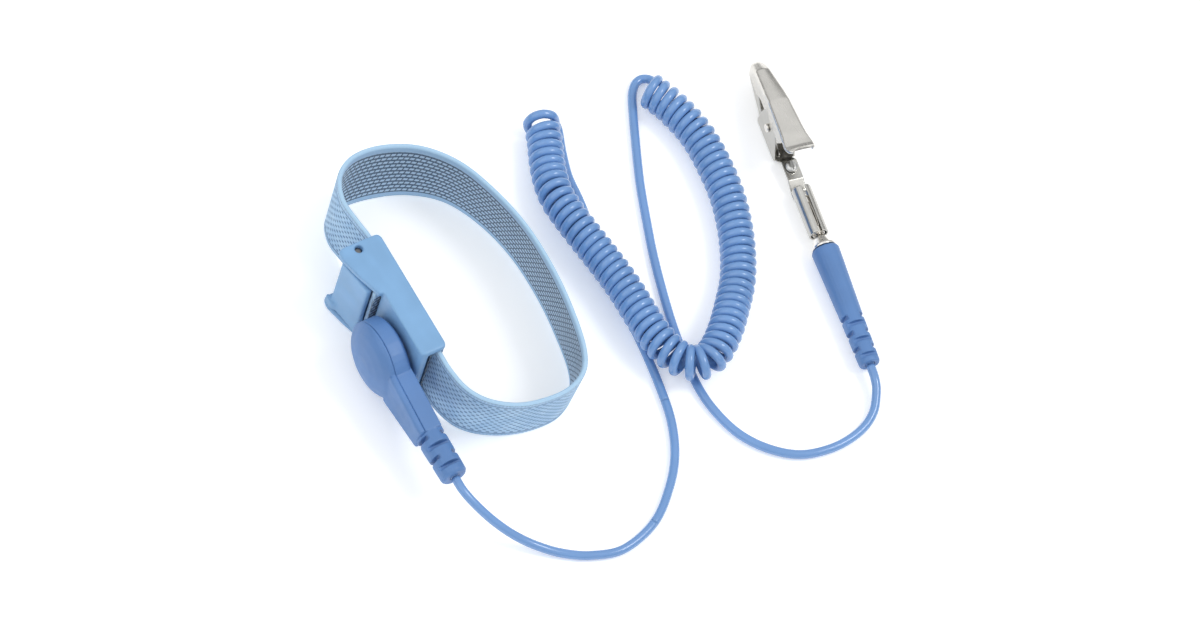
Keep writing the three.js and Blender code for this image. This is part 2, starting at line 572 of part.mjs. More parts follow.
piece('clip_lower_jaw', clipLowerJaw(), NICKEL, clip);
piece('clip_upper_jaw', clipUpperJaw(), NICKEL, clip);
piece('clip_pivot_rivet', clipPivotRivet(), NICKEL, clip);
piece('clip_spring', clipSpring(), STEEL, clip);
piece('clip_screw', clipScrew(), STEEL, clip);

export default strap;
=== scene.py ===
"""Antistatic wrist strap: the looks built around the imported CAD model.

Places and sizes of the part are in millimetres until mesh_piece() or MM turns them into metres. The
floor, the camera's view and what the materials' nodes measure are in metres.
"""

import json
import math

import bmesh
import bpy
import numpy as np
from mathutils import Matrix, Vector


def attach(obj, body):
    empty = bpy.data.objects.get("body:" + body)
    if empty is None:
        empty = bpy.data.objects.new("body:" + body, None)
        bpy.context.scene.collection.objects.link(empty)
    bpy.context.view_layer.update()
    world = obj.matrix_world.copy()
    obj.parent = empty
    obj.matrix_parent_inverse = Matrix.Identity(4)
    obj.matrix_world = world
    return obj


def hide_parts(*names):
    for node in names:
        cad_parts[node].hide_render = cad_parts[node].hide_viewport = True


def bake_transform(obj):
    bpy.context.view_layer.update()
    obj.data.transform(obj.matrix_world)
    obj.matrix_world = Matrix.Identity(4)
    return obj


MM = 0.001

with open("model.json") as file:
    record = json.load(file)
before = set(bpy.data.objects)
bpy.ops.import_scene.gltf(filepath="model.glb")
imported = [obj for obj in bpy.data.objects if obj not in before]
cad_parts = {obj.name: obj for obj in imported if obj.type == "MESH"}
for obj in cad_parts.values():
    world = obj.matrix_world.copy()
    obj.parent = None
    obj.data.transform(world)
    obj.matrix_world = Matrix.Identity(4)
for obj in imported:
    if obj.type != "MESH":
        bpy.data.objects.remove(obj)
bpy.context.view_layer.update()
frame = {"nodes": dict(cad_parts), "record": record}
nodes = frame["nodes"]

# ---- sizes shared with the CAD model ---------------------------------------------------------
BAND_WIDTH = 22.0
BAND_THICK = 1.3
BUCKLE_HALF = 17.5
# Beside the buckle (nearer than NEAR_WALL_Y) the band's lower edge stands WALL above the floor, and it
# comes down over DROP_RUN past the buckle's end.
WALL = 2.0
NEAR_WALL_Y = 8.0
DROP_RUN = (2, 16)
CORD_RADIUS = 1.15
MID_Z = 13.0
TAIL_Y = -7.6
CLIP_ORIGIN = (58.0, 107.9, 4.0)
CLIP_HEADING = math.radians(169.7)

# ---- sizes of the coil, and of the cord's two moving stretches ---------------------------------
# The coil ends on LAST_TURN_PART of a turn, and a bend opens its pitch to TURN_PITCH / WIDEST_FAN at most.
TURN_RADIUS = 3.5
TURN_PITCH = 2.33
LAST_TURN_PART = 0.75
WIDEST_FAN = 0.8
HEAD_STRETCH = 62.0
RING_STRETCH = 36.0

# ---- routes, as in the CAD model ---------------------------------------------------------------
BAND_ROUTE = [
    (13, 1.75), (17.5, 1.75), (22.5, 1.9), (28.5, 3.6), (33.8, 7.6), (37.6, 13.5), (39.2, 20.5),
    (39, 27.5), (36.2, 33.2), (30.5, 36.6), (20, 39), (8, 40.4), (-5, 40.3), (-17, 38), (-28, 33.8),
    (-36, 27), (-40.3, 18.5), (-41, 10.5), (-37.8, 4.6), (-31.5, 1.6), (-24, 1.3), (-17.5, 1.75),
    (-10.5, 1.75), (-6.6, 1), (-4.5, -1.6), (-3.75, -5.1),
]
BAND_LEAN = [
    (0, 0), (0, 0), (-0.3, 0.2), (-1.2, 0.8), (-2.2, 1.3), (-2.8, 1.6), (-2.8, 1.6), (-2.9, 1.7),
    (-3.8, 2.2), (-3.8, 2.2), (-3.2, 1.8), (-2.8, 1.6), (-2.8, 1.4), (-2.4, 1), (-1.2, 0),
    (0.8, -1.4), (2.2, -2.4), (2.5, -2.6), (2, -1.4), (1, -0.4), (0.2, 0), (0, 0), (0, 0), (0, 0),
    (0, 0), (0, 0),
]
LEAD_SNAP_ROUTE = [
    (45.6, TAIL_Y, MID_Z), (49.5, -7.5, 12.9), (54, -5.6, 10.9), (58.4, -2.5, 7.8),
    (62.6, 1.4, 4.8), (66.6, 6, 2.5), (70.6, 11.3, 1.3), (74.2, 17.8, 1.2), (76, 26.3, 1.2),
    (72.6, 37, 1.2), (65.3, 45.6, 1.2), (58, 51.2, 1.2), (49.4, 55, 1.2), (39.5, 57.2, 1.2),
    (29.3, 58.7, 1.2), (17.3, 59.9, 1.2), (2.3, 61.5, 1.2), (-8.5, 63.8, 1.2), (-15, 64.9, 1.2),
    (-21.9, 65.7, 1.2), (-28.3, 67.6, 1.2), (-32, 69, 1.2), (-33.6, 69.6, 1.3), (-34.8, 69.8, 1.9),
    (-35.7, 69.5, 3.1), (-36.1, 69, 5.3), (-36.5, 67.8, 7.5), (-37.4, 65.5, 8.2), (-38, 63.3, 7.2),
    (-38.1, 62.3, 5), (-37.8, 62.5, 3.2),
]
COIL_ROUTE = [
    (-35.4, 65, 4.75), (-31.7, 63.7, 4.8), (-23.9, 60.2, 5.2), (-15.7, 57.8, 6.6), (-6.3, 58, 7.4),
    (4.3, 59.3, 7.4), (13.5, 60.2, 7.4), (21.5, 60.3, 7.4), (28.5, 60.5, 7.4), (34.5, 61.6, 7.4),
    (39.2, 64.2, 7.4), (41, 68.5, 7.4), (39.2, 73, 7.2), (35.2, 78, 6.8), (29.6, 83.4, 5.9),
    (22.8, 89.2, 4.9), (13.3, 94.4, 4.75), (2.6, 98.2, 4.75), (-7.6, 99.9, 4.75),
    (-17.7, 100.2, 4.75), (-27, 98.3, 4.75), (-33.6, 95.6, 4.75),
]
LEAD_CLIP_ROUTE = [
    (-36.3, 98.8, 2.5), (-37.8, 98.2, 1.6), (-38.6, 96.8, 1.3), (-38.3, 95.1, 1.2),
    (-36.9, 93.4, 1.2), (-34.8, 91.9, 1.2), (-31, 90, 1.2), (-25.6, 87.4, 1.2), (-13.3, 81.8, 1.2),
    (-2.7, 77.7, 1.2), (8, 73.9, 1.2), (21.8, 69.9, 1.2), (31.7, 67.7, 1.2), (43.4, 66, 1.2),
    (51.9, 66.4, 1.2), (60.3, 68.9, 1.2), (67.1, 73.8, 1.2), (71.8, 80.5, 1.2), (73.4, 89.1, 1.2),
    (72.3, 97, 1.2), (69.4, 102.6, 1.7), (64.9, 106, 2.9), (61.6, 107.2, 3.8), (58.3, 107.85, 4),
]


# ---- small geometry helpers ------------------------------------------------------------------
def unit(vectors):
    return vectors / np.linalg.norm(vectors, axis=-1, keepdims=True)


def smoothstep(value, low, high):
    t = np.clip((np.asarray(value, float) - low) / (high - low), 0, 1)
    return t * t * (3 - 2 * t)


def smooth_line(route, spans=24):
    """Points on the uniform Catmull-Rom curve through a route."""
    p = np.array(route, float)
    p = np.vstack([2 * p[0] - p[1], p, 2 * p[-1] - p[-2]])
    t = np.linspace(0, 1, spans, endpoint=False)[:, None]
    parts = []
    for a, b, c, d in zip(p, p[1:], p[2:], p[3:]):
        cubic = 3 * b - a - 3 * c + d
        square = 2 * a - 5 * b + 4 * c - d
        parts.append(0.5 * (2 * b + (c - a) * t + square * t**2 + cubic * t**3))
    parts.append(p[-2][None])
    return np.concatenate(parts)


def lengths_along(line):
    steps = np.linalg.norm(np.diff(line, axis=0), axis=1)
    return np.concatenate([[0], np.cumsum(steps)])


def even_steps(line, step):
    """The same line with its points about one step apart."""
    along = lengths_along(line)
    at = np.linspace(0, along[-1], max(2, math.ceil(along[-1] / step) + 1))
    return np.stack([np.interp(at, along, line[:, k]) for k in range(line.shape[1])], axis=1)


def carried_normals(line, first):
    """Each point's tangent, and a normal that turns as little as possible from point to point."""
    tangents = unit(np.gradient(line, axis=0))
    normals = np.zeros_like(line)
    normal = np.array(first, float)
    for i, tangent in enumerate(tangents):
        normal = normal - tangent * (normal @ tangent)
        normal /= np.linalg.norm(normal)
        normals[i] = normal
    return tangents, normals


def mesh_piece(name, points, faces):
    """A smooth mesh object from points in millimetres."""
    mesh = bpy.data.meshes.new(name)
    mesh.from_pydata((np.asarray(points, float) * MM).tolist(), [], faces)
    mesh.validate()
    mesh.polygons.foreach_set("use_smooth", [True] * len(mesh.polygons))
    mesh.update()
    obj = bpy.data.objects.new(name, mesh)
    bpy.context.scene.collection.objects.link(obj)
    return obj


def ring_faces(rings, sides):
    """Quads between equal rings of points, with an n-gon at each end."""
    faces = []
    for i in range(rings - 1):
        for k in range(sides):
            after = (k + 1) % sides
            here, there = i * sides, (i + 1) * sides
            faces.append((here + k, here + after, there + after, there + k))
    faces.append(tuple(reversed(range(sides))))
    faces.append(tuple(range((rings - 1) * sides, rings * sides)))
    return faces


def tube(name, line, radius, sides=14):
    """A round tube of a radius along a line of points."""
    tangents, normals = carried_normals(line, (0, 0, 1))
    across = np.cross(tangents, normals)
    angles = np.linspace(0, 2 * math.pi, sides, endpoint=False)
    cosines, sines = np.cos(angles)[None, :, None], np.sin(angles)[None, :, None]
    points = line[:, None] + radius * (normals[:, None] * cosines + across[:, None] * sines)
    return mesh_piece(name, points.reshape(-1, 3), ring_faces(len(line), sides))


def bridge(start, heading, end, leaving, steps=14):
    """Points between two line ends on a cubic that keeps both directions."""
    pull = 1.2
    reach = pull * np.linalg.norm(end - start)
    t = np.linspace(0, 1, steps + 2)[1:-1, None]
    return (
        (2 * t**3 - 3 * t**2 + 1) * start
        + (t**3 - 2 * t**2 + t) * reach * heading
        + (3 * t**2 - 2 * t**3) * end
        + (t**3 - t**2) * reach * leaving
    )


def baked(obj):
    """The same object with its modifiers applied."""
    mesh = bpy.data.meshes.new_from_object(obj.evaluated_get(bpy.context.evaluated_depsgraph_get()))
    obj.modifiers.clear()
    obj.data = mesh
    return obj


# ---- camera, floor and light -----------------------------------------------------------------
def camera():
    """A long lens that looks down on the strap, turned so that the buckle runs slanting down the frame."""
    right = Vector((0.489, 0.856, 0.169)).normalized()
    toward = Vector((0.345, -0.368, 0.865)).normalized()
    up = toward.cross(right).normalized()
    right = up.cross(toward)
    target = Vector((17.3, 51.9, 5.0)) * MM
    view_width = 0.3
    data = bpy.data.cameras.new("camera")
    data.sensor_width = 36
    data.lens = 400
    distance = view_width * data.lens / data.sensor_width
    obj = bpy.data.objects.new("camera", data)
    turned = Matrix((right, up, toward)).transposed().to_4x4()
    obj.matrix_world = Matrix.Translation(target + toward * distance) @ turned
    bpy.context.scene.collection.objects.link(obj)
    bpy.context.scene.camera = obj


def sun(name, toward, strength, angle, colour):
    data = bpy.data.lights.new(name, "SUN")
    data.energy = strength
    data.angle = math.radians(angle)
    data.color = colour
    obj = bpy.data.objects.new(name, data)
    obj.rotation_mode = "QUATERNION"
    obj.rotation_quaternion = (-Vector(toward)).to_track_quat("-Z", "Y")
    bpy.context.scene.collection.objects.link(obj)


def sky():
    """A bright room: white overhead, with a darker band low down for the metal to reflect."""
    world = bpy.data.worlds.new("studio")
    world.use_nodes = True
    tree = world.node_tree
    place = tree.nodes.new("ShaderNodeTexCoord")
    height = tree.nodes.new("ShaderNodeSeparateXYZ")
    ramp = tree.nodes.new("ShaderNodeValToRGB")
    stops = [(0.0, 0.5), (0.1, 0.28), (0.3, 0.45), (0.5, 0.95), (1.0, 1.0)]
    while len(ramp.color_ramp.elements) < len(stops):
        ramp.color_ramp.elements.new(0.5)
    for element, (at, grey) in zip(ramp.color_ramp.elements, stops):
        element.position = at
        element.color = (grey * 0.98, grey * 0.99, grey, 1)
    tree.links.new(place.outputs["Generated"], height.inputs[0])
    tree.links.new(height.outputs["Z"], ramp.inputs["Fac"])
    tree.links.new(ramp.outputs["Color"], tree.nodes["Background"].inputs["Color"])
    tree.nodes["Background"].inputs["Strength"].default_value = 0.93
    bpy.context.scene.world = world


def floor():
    size = 3.0
    mesh = bpy.data.meshes.new("floor")
    below_part = 0.0002
    corners = [(-size, -size, 0), (size, -size, 0), (size, size, 0), (-size, size, 0)]
    mesh.from_pydata(corners, [], [(0, 1, 2, 3)])
    obj = bpy.data.objects.new("floor", mesh)
    obj.location.z = -below_part
    bpy.context.scene.collection.objects.link(obj)
    material = bpy.data.materials.new("floor_white")
    material.use_nodes = True
    shader = material.node_tree.nodes["Principled BSDF"]
    shader.inputs["Base Color"].default_value = (0.97, 0.97, 0.97, 1)
    shader.inputs["Roughness"].default_value = 0.8
    shader.inputs["Specular IOR Level"].default_value = 0.0
    shader.inputs["Emission Color"].default_value = (1, 1, 1, 1)
    shader.inputs["Emission Strength"].default_value = 0.26
    mesh.materials.append(material)


def studio():
    bpy.context.scene.view_settings.view_transform = "Standard"
    sky()
    sun("key", (0.25, 0.45, 0.86), 0.85, 20, (1.0, 0.99, 0.975))
    sun("side", (-0.1, -0.6, 0.75), 0.35, 50, (0.97, 0.985, 1.0))
    floor()


# ---- materials -------------------------------------------------------------------------------
class Shade:
    """A new material, with short calls to add its nodes."""

    def __init__(self, name, rough, metal=0.0):
        self.material = bpy.data.materials.new(name)
        self.material.use_nodes = True
        self.tree = self.material.node_tree
        self.shader = self.tree.nodes["Principled BSDF"]
        self.shader.inputs["Roughness"].default_value = rough
        self.shader.inputs["Metallic"].default_value = metal
        self.place = self.add("ShaderNodeTexCoord").outputs["Object"]

    def add(self, kind, **feeds):
        node = self.tree.nodes.new(kind)
        for name, value in feeds.items():
            self.feed(node.inputs[name.replace("_", " ")], value)
        return node

    def feed(self, socket, value):
        if isinstance(value, bpy.types.NodeSocket):
            self.tree.links.new(value, socket)
        else:
            socket.default_value = value

    def sum(self, operation, a, b=0.0, c=0.0):
        node = self.tree.nodes.new("ShaderNodeMath")
        node.operation = operation
        for socket, value in zip(node.inputs, (a, b, c)):
            self.feed(socket, value)
        return node.outputs[0]

    def noise(self, scale, detail=3.0, where=None):
        node = self.add("ShaderNodeTexNoise", Scale=scale, Detail=detail)
        self.feed(node.inputs["Vector"], where or self.place)
        return node.outputs["Fac"]

    def stretched(self, scale):
        return self.add("ShaderNodeMapping", Vector=self.place, Scale=scale).outputs[0]

    def remap(self, value, low, high, to_low=0.0, to_high=1.0):
        node = self.add("ShaderNodeMapRange")
        node.interpolation_type = "SMOOTHSTEP"
        names = ("Value", "From Min", "From Max", "To Min", "To Max")
        for name, number in zip(names, (value, low, high, to_low, to_high)):
            self.feed(node.inputs[name], number)
        return node.outputs[0]

    def blend(self, amount, first, second):
        node = self.tree.nodes.new("ShaderNodeMix")
        node.data_type = "RGBA"
        self.feed(node.inputs[0], amount)
        for socket, colour in ((node.inputs[6], first), (node.inputs[7], second)):
            self.feed(socket, colour if isinstance(colour, bpy.types.NodeSocket) else (*colour, 1))
        return node.outputs[2]

    def bump(self, height, distance, strength=1.0):
        node = self.add("ShaderNodeBump", Height=height, Distance=distance, Strength=strength)
        self.feed(self.shader.inputs["Normal"], node.outputs[0])

    def set(self, **feeds):
        for name, value in feeds.items():
            self.feed(self.shader.inputs[name.replace("_", " ")], value)

    def mottled(self, amount, colour, darker, lighter):
        """The colour, a little darker where the amount is low and lighter where it is high."""
        self.set(Base_Color=self.blend(amount, tinted(colour, darker), tinted(colour, lighter)))


def tinted(colour, factor):
    return tuple(min(1.0, c * factor) for c in colour)


def moulding(name, colour, rough):
    """Satin moulded plastic: faint flow marks, a fine spark-eroded grain and uneven gloss."""
    shade = Shade(name, rough)
    clouds = shade.noise(90, 4)
    flow = shade.noise(40, 2, shade.stretched((1, 4, 4)))
    tone = shade.sum("ADD", shade.sum("MULTIPLY", clouds, 0.6), shade.sum("MULTIPLY", flow, 0.4))
    shade.mottled(shade.remap(tone, 0.35, 0.65), colour, 0.94, 1.06)
    shade.set(Roughness=shade.remap(shade.noise(350, 3), 0.3, 0.7, rough - 0.05, rough + 0.07))
    shade.bump(shade.noise(3200, 2), 0.00003, 0.35)
    return shade.material


def insulation(name, colour):
    """Extruded insulation: nearly smooth, with faint streaks and soft gloss."""
    shade = Shade(name, 0.2)
    tone = shade.noise(60, 3)
    shade.mottled(shade.remap(tone, 0.35, 0.65), colour, 0.96, 1.03)
    shade.set(Roughness=shade.remap(shade.noise(500, 2), 0.3, 0.7, 0.16, 0.25))
    shade.shader.inputs["Specular IOR Level"].default_value = 0.75
    shade.bump(shade.noise(1500, 2), 0.00001, 0.2)
    return shade.material


def metal(name, colour, rough, grain):
    """Sheet metal whose rolling grain runs along X, with faint handling marks."""
    shade = Shade(name, rough, 1.0)
    lines = shade.noise(900, 3, shade.stretched((0.08, 1, 1)))
    marks = shade.noise(260, 5)
    shade.mottled(shade.remap(marks, 0.3, 0.7), colour, 0.95, 1.03)
    wear = shade.sum("ADD", shade.sum("MULTIPLY", lines, grain), shade.sum("MULTIPLY", marks, 0.06))
    shade.set(Roughness=shade.sum("ADD", wear, rough - 0.5 * grain - 0.03))
    shade.bump(lines, 0.00001, 0.3)
    return shade.material


def copper_strands(name):
    """Bare copper with the lay of its twisted strands."""
    shade = Shade(name, 0.32, 1.0)
    wave = shade.add("ShaderNodeTexWave", Vector=shade.place, Scale=900.0, Distortion=0.5)
    lay = shade.remap(wave.outputs["Fac"], 0.1, 0.9)
    shade.set(Base_Color=shade.blend(lay, (0.46, 0.22, 0.11), (0.8, 0.5, 0.32)))
    shade.bump(wave.outputs["Fac"], 0.00008)
    return shade.material


def resistor_lacquer(name):
    """Tan lacquer with the colour rings of one megohm: brown, black, green and gold."""
    shade = Shade(name, 0.36)
    x = shade.add("ShaderNodeSeparateXYZ", Vector=shade.place).outputs["X"]
    grain = shade.noise(700, 3)
    colour = shade.blend(shade.remap(grain, 0.3, 0.7), (0.62, 0.5, 0.3), (0.74, 0.62, 0.4))
    brown, black = (0.13, 0.05, 0.02), (0.01, 0.01, 0.01)
    green, gold = (0.03, 0.22, 0.06), (0.5, 0.33, 0.08)
    for at, ring in ((20.4, brown), (21.9, black), (22.8, green), (25.2, gold)):
        aside = shade.sum("ABSOLUTE", shade.sum("SUBTRACT", x, at * MM))
        colour = shade.blend(shade.remap(aside, 0.00026, 0.0003, 1.0, 0.0), colour, ring)
    shade.set(Base_Color=colour)
    shade.bump(grain, 0.00002, 0.4)
    return shade.material


# ---- cord --------------------------------------------------------------------------------------
def coil_line():
    """The helix of the curly cord. On a bend the turns fan out and still touch on its inner side."""
    step = 0.25
    steps_per_turn = 28
    axis = even_steps(smooth_line(COIL_ROUTE), step)
    tangents, normals = carried_normals(axis, (0, 0, -1))
    bend = np.linalg.norm(np.gradient(tangents, axis=0), axis=1) / step
    reach = 12
    window = np.hanning(2 * reach + 1)
    bend = np.convolve(np.pad(bend, reach, mode="edge"), window / window.sum(), mode="valid")
    along = lengths_along(axis)
    pitch = TURN_PITCH / np.maximum(1 - TURN_RADIUS * bend, WIDEST_FAN)
    phase = np.concatenate([[0], np.cumsum(2 * math.pi * np.diff(along) / pitch[1:])])
    turns = round(phase[-1] / (2 * math.pi) - LAST_TURN_PART) + LAST_TURN_PART
    phase *= 2 * math.pi * turns / phase[-1]
    at = np.linspace(0, phase[-1], math.ceil(turns * steps_per_turn))
    axis, tangents, normals = (
        np.stack([np.interp(at, phase, values[:, k]) for k in range(3)], axis=1)
        for values in (axis, tangents, normals)
    )
    across = np.cross(tangents, normals)
    return axis + TURN_RADIUS * (np.cos(at)[:, None] * normals + np.sin(at)[:, None] * across)


def heading(line, end):
    """The line's direction at its start, for end 0, or at its end, for end -1."""
    step = line[end] - line[end - 1] if end < 0 else line[1] - line[0]
    return step / np.linalg.norm(step)


def cord_lines():
    """The cord in three stretches: near the snap, beyond it, and the curly rest up to the plug."""
    step = 0.6
    lead_in = even_steps(smooth_line(LEAD_SNAP_ROUTE), step)
    lead_out = even_steps(smooth_line(LEAD_CLIP_ROUTE), step)
    coil = coil_line()
    along = lengths_along(lead_in)
    head_end = int(np.searchsorted(along, HEAD_STRETCH))
    ring_end = int(np.searchsorted(along, HEAD_STRETCH + RING_STRETCH))
    rest = np.vstack([
        lead_in[ring_end:],
        bridge(lead_in[-1], heading(lead_in, -1), coil[0], heading(coil, 0)),
        coil,
        bridge(coil[-1], heading(coil, -1), lead_out[0], heading(lead_out, 0)),
        lead_out,
    ])
    return lead_in[: head_end + 1], lead_in[head_end : ring_end + 1], rest


def cords(material):
    at_snap, lead, _ = lines = cord_lines()
    pieces = []
    for name, line in zip(("cord_at_snap", "cord_lead", "cord_curly"), lines):
        piece = tube(name, line, CORD_RADIUS)
        piece.data.materials.append(material)
        pieces.append(piece)
    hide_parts("cord_lead_snap")
    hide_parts("cord_coil", "cord_lead_clip")
    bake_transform(pieces[0])
    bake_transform(pieces[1])
    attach(pieces[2], "root")
    loose = ("object", "loose", [])
    plugged = ("plug", "coiled", ["plug_boot_moulded", "banana_plug_moulded"])
    for piece, line, (far_end, lay, carried) in zip(pieces, lines, (loose, loose, plugged)):
        carried = [bpy.data.objects[name] for name in carried]


# ---- moulded plastics ---------------------------------------------------------------------------
def moulded(node, voxel, rounds, grow, material, body):
    """A shell with the soft edges of a moulding, made from a CAD node."""
    obj = bpy.data.objects.new(node + "_moulded", nodes[node].data.copy())
    bpy.context.scene.collection.objects.link(obj)
    same_place = 1e-6
    work = bmesh.new()
    work.from_mesh(obj.data)
    bmesh.ops.remove_doubles(work, verts=work.verts, dist=same_place)
    work.to_mesh(obj.data)
    work.free()
    remesh = obj.modifiers.new("voxels", "REMESH")
    remesh.mode = "VOXEL"
    remesh.voxel_size = voxel * MM
    remesh.use_smooth_shade = True
    soften = obj.modifiers.new("soften", "SMOOTH")
    soften.factor = 0.5
    soften.iterations = rounds
    swell = obj.modifiers.new("swell", "DISPLACE")
    swell.mid_level = 0.0
    swell.strength = grow * MM
    baked(obj)
    obj.data.materials.clear()
    obj.data.materials.append(material)
    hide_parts(node)
    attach(obj, body)


# ---- wristband -----------------------------------------------------------------------------------
# Rows run along the band. A stitch is one step along its row, and a slant shifts it across the row.
# A float's or a gap's fading starts and ends at the pair of places given, as parts of its pitch.
KNIT_ROW = 1.55
KNIT_STITCH = 1.5
KNIT_SLANT = 0.3
FACE_ROW = 1.15
FACE_STITCH = 1.95
FACE_SLANT = 0.15
FLOAT_LONG = (0.3, 0.46)
FLOAT_WIDE = (0.18, 0.38)
GAP_LONG = (0.14, 0.3)
GAP_WIDE = (0.16, 0.4)
SELVEDGE = 2.3
FACE_EDGE = 1.9
GROOVE_PLACE = 2.0
RIB_PITCH = 0.9
KNIT_RELIEF = 0.1
# The web's map holds the place along the band and across it. The skin side's places start from
# SKIN_MARK and the rims' from RIM_MARK, so that the material can tell the sides apart.
SKIN_MARK = 30.0
RIM_MARK = 60.0


def patch(turn, over, long, wide):
    """One in the middle of a stitch, falling to nothing past its length and its width."""
    lengthwise = 1 - smoothstep(np.abs(turn - 0.5), *long)
    return lengthwise * (1 - smoothstep(np.abs(over - 0.5), *wide))


def knit_inside(u, v):
    """How much a light float covers each place of the skin side."""
    row = np.floor((v - SELVEDGE) / KNIT_ROW)
    over = (v - SELVEDGE) / KNIT_ROW - row
    turn = np.mod(u / KNIT_STITCH + 0.5 * row + KNIT_SLANT * over, 1)
    border = 0.75
    middle = (v > SELVEDGE) & (v < BAND_WIDTH - SELVEDGE)
    return np.where(middle, patch(turn, over, FLOAT_LONG, FLOAT_WIDE), border)


def knit_outside(u, v):
    """How deep the gaps between the stitches of the outer side are."""
    row = np.floor(v / FACE_ROW)
    over = v / FACE_ROW - row
    turn = np.mod(u / FACE_STITCH + 0.5 * row + FACE_SLANT * over, 1)
    gap = patch(turn, over, GAP_LONG, GAP_WIDE)
    edge = np.minimum(v, BAND_WIDTH - v)
    groove = 1 - smoothstep(np.abs(edge - GROOVE_PLACE), 0.12, 0.4)
    ribs = 0.35 * (0.5 + 0.5 * np.cos(2 * math.pi * u / RIB_PITCH))
    return np.where(edge < FACE_EDGE, ribs, np.maximum(gap, 0.8 * groove))


def even_steps_with(line, other, step):
    """A line and its companion at even steps along the line."""
    along = lengths_along(line)
    at = np.linspace(0, along[-1], math.ceil(along[-1] / step) + 1)
    both = np.hstack([line, other])
    return np.stack([np.interp(at, along, both[:, k]) for k in range(both.shape[1])], axis=1)


def band_path():
    """Foot, upper edge and outward direction at even steps along the band, in millimetres."""
    upper = smooth_line(BAND_ROUTE)
    lean = smooth_line(BAND_LEAN)
    both = even_steps_with(upper, lean, 0.32)
    upper, lean = both[:, :2], both[:, 2:]
    along = unit(np.gradient(upper, axis=0))
    outward = np.stack([along[:, 1], -along[:, 0], np.zeros(len(along))], axis=1)
    past = np.maximum(0, np.abs(upper[:, 0]) - BUCKLE_HALF)
    near = upper[:, 1] < NEAR_WALL_Y
    rise = WALL * near * (1 - smoothstep(past, *DROP_RUN))
    foot = np.column_stack([upper + lean, rise])
    top = np.column_stack([upper, rise + BAND_WIDTH])
    return foot, top, outward


def band(material):
    foot, top, outward = band_path()
    u = lengths_along(0.5 * (foot + top))
    half = BAND_THICK / 2
    face_v = np.linspace(half, BAND_WIDTH - half, 80)
    rim = np.linspace(0, math.pi, 7)[1:-1]
    columns = []
    for v in face_v:
        gap = knit_outside(u, np.full_like(u, v))
        columns.append((v, half - KNIT_RELIEF * gap, v))
    for angle in rim:
        upper_v = BAND_WIDTH - half + half * math.sin(angle)
        columns.append((upper_v, half * math.cos(angle) + 0 * u, RIM_MARK + angle))
    for v in face_v[::-1]:
        cover = knit_inside(u, np.full_like(u, v))
        columns.append((v, -half + KNIT_RELIEF * (1 - cover), SKIN_MARK + v))
    for angle in rim:
        lower_v = half - half * math.sin(angle)
        columns.append((lower_v, -half * math.cos(angle) + 0 * u, RIM_MARK + angle))
    across = unit(top - foot)
    points = np.stack([foot + across * v + outward * w[:, None] for v, w, _ in columns], axis=1)
    sides = len(columns)
    obj = mesh_piece("band_knit", points.reshape(-1, 3), ring_faces(len(u), sides))
    marks = np.array([mark for _, _, mark in columns])
    layer = obj.data.uv_layers.new(name="millimetres")
    corners = np.empty(len(obj.data.loops), int)
    obj.data.loops.foreach_get("vertex_index", corners)
    place = np.column_stack([u[corners // sides], marks[corners % sides]])
    layer.data.foreach_set("uv", place.ravel())
    obj.data.materials.append(material)
    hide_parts("band_elastic")
    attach(obj, "root")


